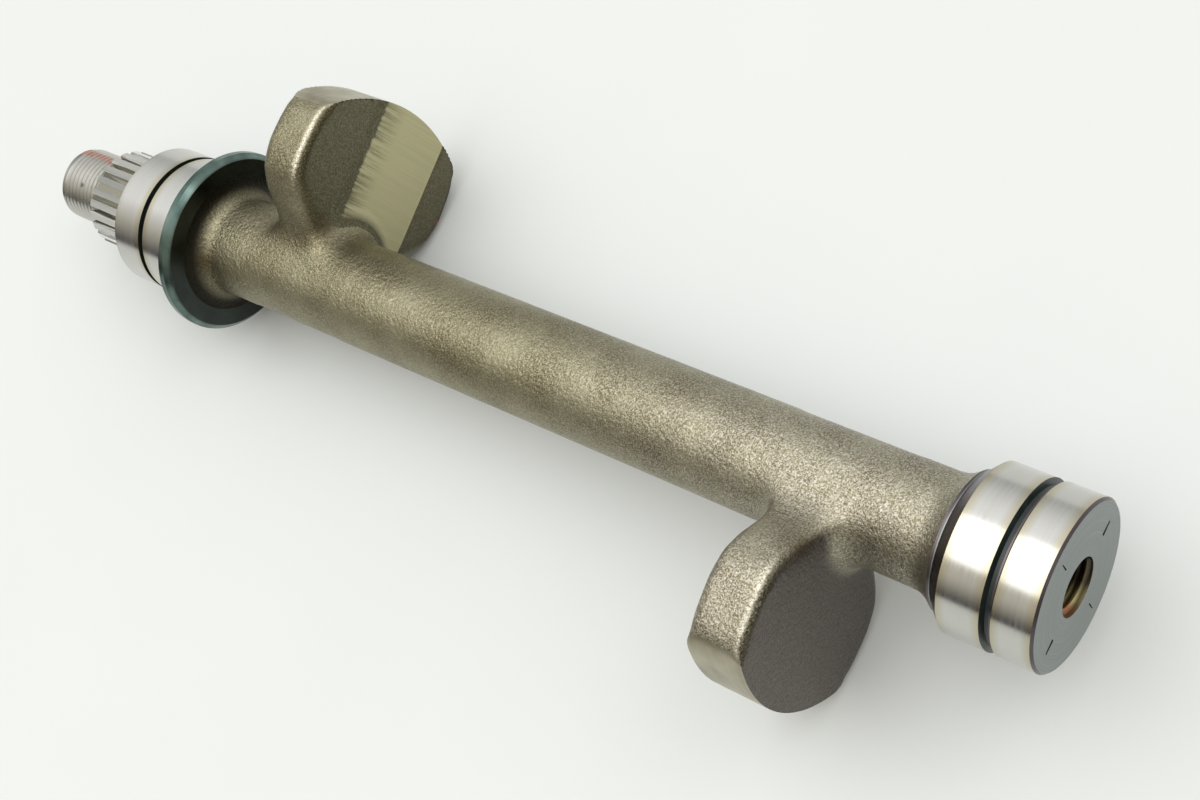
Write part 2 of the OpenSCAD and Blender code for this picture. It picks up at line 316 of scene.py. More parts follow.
past_edge = add(tree, "MapRange", {0: sideways, 1: (STRIP_Y[0] - 0.1) * MM, 2: (STRIP_Y[0] + 0.1) * MM})
strip = add(tree, "Math", {0: past_comb, 1: past_edge}, operation="MULTIPLY")
floor_of_cut = add(tree, "MapRange", {
    0: place.outputs["Z"], 1: (FAR_WEIGHT - 0.3) * MM, 2: (FAR_WEIGHT + 0.1) * MM})
strip = add(tree, "Math", {0: strip, 1: floor_of_cut}, operation="MULTIPLY")
grain = add(tree, "TexNoise", {"Vector": where, "Scale": per_mm(0.36), "Detail": 3.0, "Roughness": 0.6})
streak_at = add(tree, "Mapping", {"Vector": where, "Scale": (per_mm(0.5), per_mm(18), per_mm(5))})
streak = add(tree, "TexNoise", {"Vector": streak_at, "Scale": 1.0, "Detail": 2.0})
grain_share = add(tree, "MapRange", {0: grain, 1: 0.45, 2: 0.72})
# the skin here takes the painted shade of the forged faces that look at the near end
skin = add(tree, "Mix", {0: grain_share, 6: "#57533F", 7: "#7D7966"}, data_type="RGBA")
cut = add(tree, "Mix", {0: streak, 6: "#A7A17C", 7: "#B9B391"}, data_type="RGBA")
tone = add(tree, "Mix", {0: strip, 6: skin, 7: cut}, data_type="RGBA")
rough = add(tree, "MapRange", {0: strip, 3: 0.5, 4: 0.36})
depth = add(tree, "MapRange", {0: strip, 3: 0.16 * MM, 4: 0.015 * MM})
bump = add(tree, "Bump", {"Height": grain, "Strength": 0.7, "Distance": depth})
wire(tree, shader, {"Base Color": tone, "Metallic": 1.0, "Roughness": rough, "Normal": bump})
print("made", milled.name)

# %% [markdown]
# ## Ground steel
# A ground journal is nearly a mirror. What tells it from chrome is the grinding: very fine lines round
# the shaft that stretch each reflection a little. The lines are drawn about 0.15 mm apart, coarser
# than the real grit, so that they still show. Along the edges of each land the metal kept a straw
# tint that fades within two millimetres, so the tint follows the distance to the nearest edge.

# %% Material of the journals
LANDS = (
    (JOURNAL_CHAMFER, NEAR_GROOVE[0]), (NEAR_GROOVE[1], JOURNAL_TO),
    (FLANGE_END, DRIVE_GROOVE[0]), (DRIVE_GROOVE[1], DRIVE_END))
STRAW_W = 1.7               # the tint has faded out this far from an edge
# gives the eye nearly a mirror, drawn out round the shaft, with straw-coloured edges
ground, tree, shader = new_material("ground_bearing_steel")
where = add(tree, "TexCoord").outputs["Object"]
place = add(tree, "SeparateXYZ", {0: where})
lines_at = add(tree, "Mapping", {"Vector": where, "Scale": (per_mm(20), per_mm(20), per_mm(0.15))})
lines = add(tree, "TexNoise", {"Vector": lines_at, "Scale": 1.0, "Detail": 2.0})
cloud = add(tree, "TexNoise", {"Vector": where, "Scale": per_mm(4.0), "Detail": 3.0})
inside = None
for low, high in LANDS:
    half = add(tree, "Math", {0: place.outputs["Z"], 1: (low + high) / 2 * MM}, operation="SUBTRACT")
    away = add(tree, "Math", {0: half}, operation="ABSOLUTE")
    land = add(tree, "MapRange", {0: away, 1: (high - low) / 2 * MM, 2: ((high - low) / 2 - STRAW_W) * MM})
    if inside is None:
        inside = land
    else:
        inside = add(tree, "Math", {0: inside, 1: land}, operation="MAXIMUM")
bright = add(tree, "Mix", {0: lines, 6: "#BEBDB9", 7: "#CCCBC6"}, data_type="RGBA")
straw = add(tree, "Mix", {0: cloud, 6: "#ADA58B", 7: "#BFB8A2"}, data_type="RGBA")
tone = add(tree, "Mix", {0: inside, 6: straw, 7: bright}, data_type="RGBA")
rough = add(tree, "MapRange", {0: lines, 1: 0.3, 2: 0.7, 3: 0.15, 4: 0.24})
bump = add(tree, "Bump", {"Height": lines, "Strength": 0.12, "Distance": 0.01 * MM})
wire(tree, shader, {"Base Color": tone, "Metallic": 1.0, "Roughness": rough, "Normal": bump})
print("made", ground.name)

# %% [markdown]
# ## Faced end
# The lathe tool went across the end face and left rings about the hole. A noise that reads nothing but
# the distance from the axis draws them, 0.5 mm apart, which is coarser than the real feed; a cloudy one
# of 5 mm keeps them from looking drawn.

# %% Material of the faced end
# gives the eye a satin blue grey with faint rings
faced, tree, shader = new_material("faced_end_steel")
where = add(tree, "TexCoord").outputs["Object"]
across = add(tree, "VectorMath", {0: where, 1: (1.0, 1.0, 0.0)}, operation="MULTIPLY")
radius = add(tree, "VectorMath", {0: across}, operation="LENGTH")
ring_at = add(tree, "CombineXYZ", {0: radius})
rings = add(tree, "TexNoise", {"Vector": ring_at, "Scale": per_mm(0.5), "Detail": 3.0})
cloud = add(tree, "TexNoise", {"Vector": where, "Scale": per_mm(5.0), "Detail": 4.0})
share = add(tree, "Mix", {0: 0.5, 2: rings, 3: cloud}, data_type="FLOAT")
share = add(tree, "MapRange", {0: share, 1: 0.36, 2: 0.64})
tone = add(tree, "Mix", {0: share, 6: "#757C79", 7: "#8C9290"}, data_type="RGBA")
rough = add(tree, "MapRange", {0: cloud, 1: 0.3, 2: 0.7, 3: 0.28, 4: 0.4})
bump = add(tree, "Bump", {"Height": rings, "Strength": 0.2, "Distance": 0.02 * MM})
wire(tree, shader, {"Base Color": tone, "Metallic": 1.0, "Roughness": rough, "Normal": bump})
print("made", faced.name)

# %% [markdown]
# ## Tinted slope
# The slope behind the near journal took a purple brown tint from the heat of turning. It is still a
# smooth metal, so the tint is only its colour, uneven by a noise of 3 mm.

# %% Material of the tinted slope
# gives the eye a dark purple-brown sheen
tinted, tree, shader = new_material("heat_tinted_turned_steel")
where = add(tree, "TexCoord").outputs["Object"]
cloud = add(tree, "TexNoise", {"Vector": where, "Scale": per_mm(3.0), "Detail": 4.0})
tone = add(tree, "Mix", {0: cloud, 6: "#4E474B", 7: "#6B6264"}, data_type="RGBA")
rough = add(tree, "MapRange", {0: cloud, 3: 0.2, 4: 0.36})
wire(tree, shader, {"Base Color": tone, "Metallic": 1.0, "Roughness": rough})
print("made", tinted.name)

# %% [markdown]
# ## Oily grooves
# Oil turned to black residue in the two grooves. The film hides most of the metal, so it is mostly not
# metallic, and a noise of 2 mm makes it wet here and dry there.

# %% Material of the oil grooves
# gives the eye black with a wet gleam
oiled, tree, shader = new_material("oil_blackened_groove_steel")
where = add(tree, "TexCoord").outputs["Object"]
film = add(tree, "TexNoise", {"Vector": where, "Scale": per_mm(2.0), "Detail": 4.0})
tone = add(tree, "Mix", {0: film, 6: "#0E1211", 7: "#2C3634"}, data_type="RGBA")
rough = add(tree, "MapRange", {0: film, 3: 0.2, 4: 0.5})
wire(tree, shader, {"Base Color": tone, "Metallic": 0.25, "Roughness": rough})
print("made", oiled.name)

# %% [markdown]
# ## Tapped hole
# The hole's thread is olive, darker towards its roots and rusty on the side where moisture gathered. It
# is painted lighter on the side that light falls on and darker on the other, as lit and shaded sides.
# The darkening follows the distance from the axis, the painted light and the rust the place across the
# shaft. Rust is hardly metallic, so it dulls the metal too.

# %% Material of the tapped hole
# gives the eye olive thread, painted lighter where light falls into the hole and darker in its roots, with
# rust on one side
tapped, tree, shader = new_material("tapped_hole_steel_with_rust")
where = add(tree, "TexCoord").outputs["Object"]
place = add(tree, "SeparateXYZ", {0: where})
cloud = add(tree, "TexNoise", {"Vector": where, "Scale": per_mm(1.6), "Detail": 4.0})
across = add(tree, "VectorMath", {0: where, 1: (1.0, 1.0, 0.0)}, operation="MULTIPLY")
radius = add(tree, "VectorMath", {0: across}, operation="LENGTH")
# painted light: the side of the hole that light falls on is lighter
lit = add(tree, "MapRange", {0: place.outputs["X"], 1: -1.2 * MM, 2: 1.8 * MM})
olive = add(tree, "Mix", {0: lit, 6: "#5A5342", 7: "#B5A878"}, data_type="RGBA")
rust = add(tree, "Mix", {0: cloud, 6: "#7A421F", 7: "#B97638"}, data_type="RGBA")
rusty = add(tree, "MapRange", {0: place.outputs["X"], 1: 2.2 * MM, 2: 3.6 * MM})
tone = add(tree, "Mix", {0: rusty, 6: olive, 7: rust}, data_type="RGBA")
root_dark_from, root_dark_to = (HOLE_CREST_R + 0.2) * MM, (HOLE_ROOT_R - 0.1) * MM
root_darkened = add(tree, "MapRange", {0: radius, 1: root_dark_from, 2: root_dark_to, 4: 0.7})
tone = add(tree, "Mix", {0: root_darkened, 6: tone, 7: "#2A251B"}, data_type="RGBA")
bare = add(tree, "MapRange", {0: rusty, 3: 1.0, 4: 0.35})
rough = add(tree, "MapRange", {0: cloud, 3: 0.28, 4: 0.5})
wire(tree, shader, {"Base Color": tone, "Metallic": bare, "Roughness": rough})
print("made", tapped.name)

# %% [markdown]
# ## Black oxide
# The thrust flange was blackened: a thin oxide over smooth turned steel. It mirrors its surroundings,
# only darkly, so it is a dark metal with little roughness. On the rim the oxide is thinner and turns
# teal, which follows the radius.

# %% Material of the flange
# gives the eye a dark mirror with a teal rim
blackened, tree, shader = new_material("black_oxide_on_turned_steel")
where = add(tree, "TexCoord").outputs["Object"]
across = add(tree, "VectorMath", {0: where, 1: (1.0, 1.0, 0.0)}, operation="MULTIPLY")
radius = add(tree, "VectorMath", {0: across}, operation="LENGTH")
film = add(tree, "TexNoise", {"Vector": where, "Scale": per_mm(6.0), "Detail": 5.0})
share = add(tree, "MapRange", {0: film, 1: 0.35, 2: 0.7})
at_rim = add(tree, "MapRange", {0: radius, 1: (FLANGE_R - 1.3) * MM, 2: (FLANGE_R - 0.7) * MM})
face_tone = add(tree, "Mix", {0: share, 6: "#393D3A", 7: "#464B48"}, data_type="RGBA")
rim_tone = add(tree, "Mix", {0: share, 6: "#425650", 7: "#788A84"}, data_type="RGBA")
tone = add(tree, "Mix", {0: at_rim, 6: face_tone, 7: rim_tone}, data_type="RGBA")
rough = add(tree, "MapRange", {0: film, 1: 0.3, 2: 0.7, 3: 0.16, 4: 0.26})
wire(tree, shader, {"Base Color": tone, "Metallic": 1.0, "Roughness": rough})
print("made", blackened.name)

# %% [markdown]
# ## Cut thread steel, with an inspection mark
# The thread is bright cut steel, darker towards its roots. Someone put a dash of orange-red paint along
# the top of it, now mostly rubbed off. The darkening follows the radius; the paint is a mask on the
# sideways place and on the station, broken up by a noise, and paint is no metal.

# %% Material of the thread
PAINT_X, PAINT_Y = -6.1, 5.1        # where the dash runs along the thread, in mm across the shaft
PAINT_FROM, PAINT_TO = 229.5, 231.0 # stations between which it begins
NICK = (1.33, 7.89, 236.35)         # a small dark nick in the crests, in mm
# gives the eye grey crests over dimmer roots, with a worn red dash
cut_steel, tree, shader = new_material("cut_thread_steel")
where = add(tree, "TexCoord").outputs["Object"]
place = add(tree, "SeparateXYZ", {0: where})
across = add(tree, "VectorMath", {0: where, 1: (1.0, 1.0, 0.0)}, operation="MULTIPLY")
radius = add(tree, "VectorMath", {0: across}, operation="LENGTH")
cloud = add(tree, "TexNoise", {"Vector": where, "Scale": per_mm(2.5), "Detail": 3.0})
toward_crest = add(tree, "MapRange", {0: radius, 1: STUB_ROOT_R * MM, 2: (STUB_R - 0.08) * MM})
steel = add(tree, "Mix", {0: cloud, 6: "#B4B2AA", 7: "#C4C2BB"}, data_type="RGBA")
root_darkened = add(tree, "Mix", {0: toward_crest, 6: "#86837A", 7: steel}, data_type="RGBA")
nick = add(tree, "VectorMath", {0: where, 1: tuple(c * MM for c in NICK)}, operation="DISTANCE")
nick = add(tree, "MapRange", {0: nick, 1: 0.65 * MM, 2: 0.35 * MM})
root_darkened = add(tree, "Mix", {0: nick, 6: root_darkened, 7: "#77746B"}, data_type="RGBA")
dash = add(tree, "VectorMath", {0: across, 1: (PAINT_X * MM, PAINT_Y * MM, 0.0)}, operation="DISTANCE")
dash = add(tree, "MapRange", {0: dash, 1: 1.5 * MM, 2: 0.9 * MM})
along = add(tree, "MapRange", {0: place.outputs["Z"], 1: PAINT_FROM * MM, 2: PAINT_TO * MM})
paint = add(tree, "Math", {0: dash, 1: along}, operation="MULTIPLY")
edge_highlight_and_paint_wear = add(tree, "MapRange", {0: cloud, 1: 0.32, 2: 0.5, 3: 0.15, 4: 0.85})
paint = add(tree, "Math", {0: paint, 1: edge_highlight_and_paint_wear}, operation="MULTIPLY")
tone = add(tree, "Mix", {0: paint, 6: root_darkened, 7: "#985F50"}, data_type="RGBA")
bare = add(tree, "MapRange", {0: paint, 3: 1.0, 4: 0.0})
rough = add(tree, "MapRange", {0: cloud, 3: 0.18, 4: 0.32})
wire(tree, shader, {"Base Color": tone, "Metallic": bare, "Roughness": rough})
print("made", cut_steel.name)

# %% [markdown]
# ## Spline steel
# A round cutter made the gaps of the spline. The crowns of its teeth are the brightest steel on the
# shaft, and the roots between them stay dull. As on the thread, the distance from the axis parts the
# two. It is a material of its own because it is smoother and brighter than the thread.

# %% Material of the spline
# gives the eye bright crowns over dull roots
splined, tree, shader = new_material("cut_spline_steel")
where = add(tree, "TexCoord").outputs["Object"]
across = add(tree, "VectorMath", {0: where, 1: (1.0, 1.0, 0.0)}, operation="MULTIPLY")
radius = add(tree, "VectorMath", {0: across}, operation="LENGTH")
cloud = add(tree, "TexNoise", {"Vector": where, "Scale": per_mm(4.0), "Detail": 3.0})
toward_crest = add(tree, "MapRange", {0: radius, 1: (SPLINE_R - 1.25) * MM, 2: (SPLINE_R - 0.35) * MM})
steel = add(tree, "Mix", {0: cloud, 6: "#E4E2DB", 7: "#EFEDE7"}, data_type="RGBA")
tone = add(tree, "Mix", {0: toward_crest, 6: "#8C8878", 7: steel}, data_type="RGBA")
rough = add(tree, "MapRange", {0: cloud, 3: 0.14, 4: 0.24})
wire(tree, shader, {"Base Color": tone, "Metallic": 1.0, "Roughness": rough})
print("made", splined.name)

# %% [markdown]
# ## Turning on the lathe
# Journals, grooves, flange and stub are bodies of revolution, so one function does what a lathe does:
# it takes a half section as radius and station, swings it round the axis and keeps a finish for each
# stretch of it. Edges sharper than 20 degrees stay crisp. A spin tool would do the same; writing the
# rings out keeps the finish of every stretch in one list.

# %% The lathe
ROUND = 160                 # steps round the shaft


def place_piece(name, mesh, crisp=20.0):
    """A piece in the shaft's own axes, smooth but for edges sharper than crisp degrees."""
    mesh.validate()
    mesh.shade_smooth()
    mesh.set_sharp_from_angle(angle=math.radians(crisp))
    piece = bpy.data.objects.new(name, mesh)
    bpy.context.scene.collection.objects.link(piece)
    piece.matrix_world = shaft_axes
    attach(piece, "root")
    print(name, len(mesh.polygons), "faces")
    return piece


def turn(name, section, finishes):
    """section: (radius, station, finish of the stretch that ends here), from axis to axis, in mm."""
    verts, rows = [], []
    for r, s, _ in section:
        start = len(verts)
        steps = ROUND if r > 0 else 1
        for k in range(steps):
            a = 2 * math.pi * k / ROUND
            verts.append((r * math.cos(a) * MM, r * math.sin(a) * MM, s * MM))
        rows.append((start, steps))
    faces, slots = [], []
    for (a, na), (b, nb), (_, _, finish) in zip(rows, rows[1:], section[1:]):
        for k in range(ROUND):
            j = (k + 1) % ROUND
            ring = [a + k % na, a + j % na, b + j % nb, b + k % nb]
            faces.append(list(dict.fromkeys(reversed(ring))))
            slots.append(finishes.index(finish))
    mesh = bpy.data.meshes.new(name)
    mesh.from_pydata(verts, [], faces)
    for finish in finishes:
        mesh.materials.append(finish)
    mesh.polygons.foreach_set("material_index", slots)
    place_piece(name, mesh)


print("lathe of", ROUND, "steps")

# %% [markdown]
# ## Near end
# The near end is the ground journal with its oil groove, a faced end with a tapped hole, and the turned
# slope and ring behind it, with the forged flare down to the stem. The hole's wall is at the thread's
# root radius, and the thread itself is cut afterwards as a ridge.

# %% Turn the near end
FLARE_STEPS = 10
CORE_IN, CORE_BACK = 2, 4     # how far the hidden back of this piece reaches into the forging
flare = []
for step in range(1, FLARE_STEPS + 1):
    left = 1 - step / FLARE_STEPS
    r = STEM_R + PROUD + (RING_R - STEM_R) * left * left
    flare.append((r, RING_END + FLARE_LEN * (1 - left), forged))
turn("near_journal", [
    (0, HOLE_DEPTH + DRILL_POINT, tapped),
    (HOLE_ROOT_R, HOLE_DEPTH, tapped),
    (HOLE_ROOT_R, HOLE_MOUTH_R - HOLE_CREST_R, tapped),
    (HOLE_MOUTH_R + MOUTH_EASE, 0.0, tapped),
    (JOURNAL_R - JOURNAL_CHAMFER, 0.0, faced),
    (JOURNAL_R, JOURNAL_CHAMFER, tinted),
    (JOURNAL_R, NEAR_GROOVE[0], ground),
    (JOURNAL_R - GROOVE_DEPTH, NEAR_GROOVE[0] + GROOVE_SLOPE, oiled),
    # painted highlight: a lighter stripe on the groove's floor stands in for the light line of its rounded
    # wall
    (JOURNAL_R - GROOVE_DEPTH, NEAR_GROOVE[0] + GROOVE_SLOPE + GROOVE_LIGHT_LINE, tinted),
    (JOURNAL_R - GROOVE_DEPTH, NEAR_GROOVE[1] - GROOVE_SLOPE, oiled),
    (JOURNAL_R, NEAR_GROOVE[1], oiled),
    (JOURNAL_R, JOURNAL_TO, ground),
    (RING_R + PROUD, SLOPE_END, tinted),
    (RING_R + PROUD, SLOPE_END + RING_LINE, faced),
    (RING_R + PROUD, RING_END, tinted),
] + flare + [
    (STEM_R - CORE_IN, RING_END + FLARE_LEN, forged),
    (STEM_R - CORE_IN, HOLE_DEPTH + CORE_BACK, tinted),
    (0, HOLE_DEPTH + CORE_BACK, tinted),
], [ground, faced, tinted, oiled, tapped, forged])

# %% [markdown]
# ## Bites of the driving centre
# To turn and grind the shaft, a centre with four teeth was pressed into the end face and drove it. Each
# tooth left a radial bite between the hole and the edge, two of them broad. Each is a thin wedge sunk in
# the face, so that only a sliver of it shows, and its dark is painted shadow: flat black without a gleam.

# %% Press the bites
BITES = ((10, 0.42), (100, 0.16), (190, 0.42), (280, 0.16))    # angle in degrees, half width in mm
BITE_FROM, BITE_TO = 9.2, 11.8      # radii of their ends
BITE_PROUD, BITE_DEPTH = 0.012, 0.5
BITE_TAPER = 0.6                    # width of the outer end as a share of the inner one
# painted shadow in the bites: flat black without a gleam
painted_bite_shadow, tree, shader = new_material("painted_shadow_in_driver_bites")
where = add(tree, "TexCoord").outputs["Object"]
shadow_mottle = add(tree, "TexNoise", {"Vector": where, "Scale": per_mm(0.6), "Detail": 2.0})
tone = add(tree, "Mix", {0: shadow_mottle, 6: "#0B0B0A", 7: "#24231F"}, data_type="RGBA")
wire(tree, shader, {"Base Color": tone, "Roughness": 0.8, "Specular IOR Level": 0.1})
bites = bmesh.new()
for angle, width in BITES:
    a = math.radians(angle)
    along, aside = Vector((math.cos(a), math.sin(a), 0)), Vector((-math.sin(a), math.cos(a), 0))
    wedge = (
        (BITE_FROM, -width, -BITE_PROUD), (BITE_TO, -width * BITE_TAPER, -BITE_PROUD),
        (BITE_TO, width * BITE_TAPER, -BITE_PROUD), (BITE_FROM, width, -BITE_PROUD),
        ((BITE_FROM + BITE_TO) / 2, 0, BITE_DEPTH))
    v = [bites.verts.new((along * r + aside * w + Vector((0, 0, h))) * MM) for r, w, h in wedge]
    bites.faces.new((v[0], v[3], v[2], v[1]))
    for k in range(4):
        bites.faces.new((v[k], v[(k + 1) % 4], v[4]))
bmesh.ops.recalc_face_normals(bites, faces=bites.faces)
bite_mesh = bpy.data.meshes.new("driver_bites")
bites.to_mesh(bite_mesh)
bites.free()
bite_mesh.materials.append(painted_bite_shadow)
place_piece("driver_bites", bite_mesh)

# %% [markdown]
# ## Drive end
# Behind the flange sits the second ground journal with a narrower groove. The flange is its own turned
# ring here, because its black oxide stops at the journal and at the forged fillet of the stem.

# %% Turn the drive journal and the flange
turn("drive_journal", [
    (0, FLANGE_END - TUCK, ground),
    (JOURNAL_R, FLANGE_END - TUCK, ground),
    (JOURNAL_R, DRIVE_GROOVE[0], ground),
    (JOURNAL_R - GROOVE_DEPTH, DRIVE_GROOVE[0], oiled),
    (JOURNAL_R - GROOVE_DEPTH, DRIVE_GROOVE[1], oiled),
    (JOURNAL_R, DRIVE_GROOVE[1], oiled),
    (JOURNAL_R, DRIVE_END - 2 * JOURNAL_CHAMFER, ground),
    (JOURNAL_R - 2 * JOURNAL_CHAMFER, DRIVE_END, ground),
    (0, DRIVE_END, ground),
], [ground, oiled])
collar = []
for degrees in range(0, 91, 10):
    t = math.radians(degrees)
    r = STEM_R + COLLAR_PROUD + FLANGE_FILLET * (1 - math.cos(t))
    collar.append((r, FLANGE_AT - FLANGE_FILLET * (1 - math.sin(t)), forged))
turn("thrust_flange", [
    (0, FLANGE_AT - FLANGE_FILLET, forged),
] + collar + [
    (FLANGE_R - FLANGE_BEVEL, FLANGE_AT, blackened),
    (FLANGE_R, FLANGE_AT + FLANGE_BEVEL, blackened),
    (FLANGE_R, FLANGE_END - FLANGE_CHAMFER, blackened),
    (FLANGE_R - FLANGE_CHAMFER, FLANGE_END, blackened),
    (0, FLANGE_END, blackened),
], [blackened, forged])

# %% [markdown]
# ## Threads
# A thread is a ridge swept along a helix, sharp in the hole and with a flat crest on the stub. It rises
# from the root over part of its first turn and sinks back over the last, as a cut thread runs out. The
# same function cuts the stub's thread outward and the hole's thread inward.

# %% Cut the threads
TURN_STEPS = 72
FOOT_GAP = 0.02             # free share of the pitch on each side of a ridge's foot
SUNK = 0.02                 # the foot lies this far under the wall, in mm
STUB_THREAD = (SPLINE_END - 0.6, TOTAL - 0.1)
HOLE_THREAD = (0.15, HOLE_DEPTH - 1)


def thread(name, root, crest, start, end, pitch, flat, finish, angle=0.0, lead=0.5):
    """A helical ridge from root to crest radius between two stations, in mm.

    flat is the crest's share of the pitch, angle is where the ridge starts, in degrees, and lead is the
    share of a turn over which it rises.
    """
    turns = (end - start) / pitch - 1
    steps = int(turns * TURN_STEPS)
    verts, faces = [], []
    for k in range(steps + 1):
        a = math.radians(angle) + 2 * math.pi * k / TURN_STEPS
        rise = min(1.0, k / (TURN_STEPS * lead), (steps - k) / (TURN_STEPS * lead))
        s = start + pitch * k / TURN_STEPS
        tip = root + (crest - root) * rise
        low, high = 0.5 - flat / 2, 0.5 + flat / 2
        for r, along in ((root, FOOT_GAP), (tip, low), (tip, high), (root, 1 - FOOT_GAP)):
            verts.append((r * math.cos(a) * MM, r * math.sin(a) * MM, (s + along * pitch) * MM))
    for k in range(steps):
        for j in range(4):
            i = 4 * k
            faces.append((i + j, i + (j + 1) % 4, i + 4 + (j + 1) % 4, i + 4 + j))
    faces += [(3, 2, 1, 0), tuple(4 * steps + j for j in range(4))]
    mesh = bpy.data.meshes.new(name)
    mesh.from_pydata(verts, [], faces)
    bm = bmesh.new()
    bm.from_mesh(mesh)
    bmesh.ops.remove_doubles(bm, verts=bm.verts, dist=1e-7)
    bmesh.ops.recalc_face_normals(bm, faces=bm.faces)
    bm.to_mesh(mesh)
    bm.free()
    mesh.materials.append(finish)
    place_piece(name, mesh)


turn("thread_stub", [
    (0, SPLINE_END - TUCK, cut_steel),
    (STUB_ROOT_R, SPLINE_END - TUCK, cut_steel),
    (STUB_ROOT_R, TOTAL - STUB_CHAMFER / 2, cut_steel),
    (STUB_ROOT_R - STUB_CHAMFER / 2, TOTAL, cut_steel),
    (CENTRE_R, TOTAL, cut_steel),
    (0, TOTAL - CENTRE_DEPTH, cut_steel),
], [cut_steel])
thread("stub_thread", STUB_ROOT_R - SUNK, STUB_R, *STUB_THREAD, STUB_PITCH, 0.6, cut_steel)
thread("end_hole_thread", HOLE_ROOT_R + SUNK, HOLE_CREST_R, *HOLE_THREAD, HOLE_PITCH, 0.14, tapped,
       angle=170.0, lead=0.2)

# %% [markdown]
# ## Stretches of the solid
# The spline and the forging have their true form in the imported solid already, and modelling them again
# could only add errors. A stretch of it is taken by cutting a copy with two planes across the shaft and
# closing the cuts.

# %% Spline from the solid
def stretch(name, low, high):
    """A closed copy of the solid between two stations, in the shaft's own axes."""
    mesh = solid.data.copy()
    mesh.name = name
    mesh.materials.clear()
    mesh.transform(shaft_axes.inverted())
    bm = bmesh.new()
    bm.from_mesh(mesh)
    bmesh.ops.remove_doubles(bm, verts=bm.verts, dist=1e-6)
    for station, outward in ((low, -1.0), (high, 1.0)):
        everything = bm.verts[:] + bm.edges[:] + bm.faces[:]
        cut = bmesh.ops.bisect_plane(
            bm, geom=everything, dist=1e-7, plane_co=(0, 0, station * MM), plane_no=(0, 0, outward),
            clear_outer=True)
        rim = [e for e in cut["geom_cut"] if isinstance(e, bmesh.types.BMEdge)]
        bmesh.ops.edgenet_fill(bm, edges=rim)
    bmesh.ops.recalc_face_normals(bm, faces=bm.faces)
    bm.to_mesh(mesh)
    bm.free()
    return mesh


OFF_FACE = 0.02             # the cuts lie this far behind the faces at the spline's ends
spline_mesh = stretch("spline", DRIVE_END + OFF_FACE, SPLINE_END + OFF_FACE)
spline_mesh.materials.append(splined)
place_piece("spline", spline_mesh)

# %% [markdown]
# ## The forging
# A forging has no hard corner: every meeting of stem and weight flows. The stretch between ring and
# flange is remeshed to an even net of half-millimetre faces, which can then be relaxed like a cloth.
# Bevels would need clean edges, and the places where fillets run into each other have none.

# %% Remesh the forging
VOXEL = 0.55                # width of the net, in mm
FORGING = (RING_END - 0.5, FLANGE_AT - 0.04)
core_mesh = stretch("forging", *FORGING)
core = bpy.data.objects.new("forging", core_mesh)
bpy.context.scene.collection.objects.link(core)
net = core.modifiers.new("even net", "REMESH")
net.mode = "VOXEL"
net.voxel_size = VOXEL * MM
even = bpy.data.meshes.new_from_object(core.evaluated_get(bpy.context.evaluated_depsgraph_get()))
bpy.data.objects.remove(core)

points = np.empty(len(even.vertices) * 3)
even.vertices.foreach_get("co", points)
points = points.reshape(-1, 3) / MM
ties = np.empty(len(even.edges) * 2, dtype=np.int64)
even.edges.foreach_get("vertices", ties)
ties = ties.reshape(-1, 2)
joined = np.bincount(ties.ravel(), minlength=len(points))[:, None]


def relax(co, share, rounds):
    """Moves each point by its share toward the middle of its neighbours, a number of rounds."""
    for _ in range(rounds):
        total = np.zeros_like(co)
        for axis in range(3):
            total[:, axis] += np.bincount(ties[:, 0], co[ties[:, 1], axis], minlength=len(co))
            total[:, axis] += np.bincount(ties[:, 1], co[ties[:, 0], axis], minlength=len(co))
        co = co + share * 0.5 * (total / joined - co)
    return co


print("net of", len(points), "points")

# %% [markdown]
# ## Surfaces that stay true
# Relaxing shrinks what bulges, so the points of the true surfaces are found first: the turned arc of
# each weight, its two bulged flanks, and the corners where the arc meets the flat faces. Each is known
# by its place in the shaft's own axes.

# %% Find the true surfaces
CLOSE = 0.6 * VOXEL         # a point this near to a surface belongs to it
ARC_HALF = 36.1             # half of the turned arc, up to where the forged flank begins, in degrees
FLANK_R = 40.0              # bulge of the flanks
FLANK_CENTRE = (21.5, 16.3) # middle of that bulge, along and across the weight
FLANK_FROM = 15.0           # where the flanks begin, outside the shoulders
LOBE_EDGE = 1.8             # the true flank ends this far from the faces, where the round edge begins
ROOT_TO = 27.0              # the roots and shoulders flow up to here, from the axis
ROOT_SPREAD = 7             # and this far along the stem on each side of a weight
WEIGHTS = ((NEAR_WEIGHT, 1), (FAR_WEIGHT, -1))      # station, and the way it points along x
out = np.hypot(points[:, 0], points[:, 1])
station = points[:, 2].copy()
at_weight = np.zeros(len(points), dtype=bool)
root_zone = np.zeros(len(points), dtype=bool)
for begin in (NEAR_WEIGHT, FAR_WEIGHT):
    at_weight |= (station > begin - 1) & (station < begin + WEIGHT_T + 1)
    beside = (station > begin - ROOT_SPREAD) & (station < begin + WEIGHT_T + ROOT_SPREAD)
    root_zone |= beside & (out < ROOT_TO)
swing = np.degrees(np.arctan2(abs(points[:, 1]), abs(points[:, 0])))
turned = at_weight & (out > WEIGHT_R - CLOSE) & (swing < ARC_HALF)
flanks = []
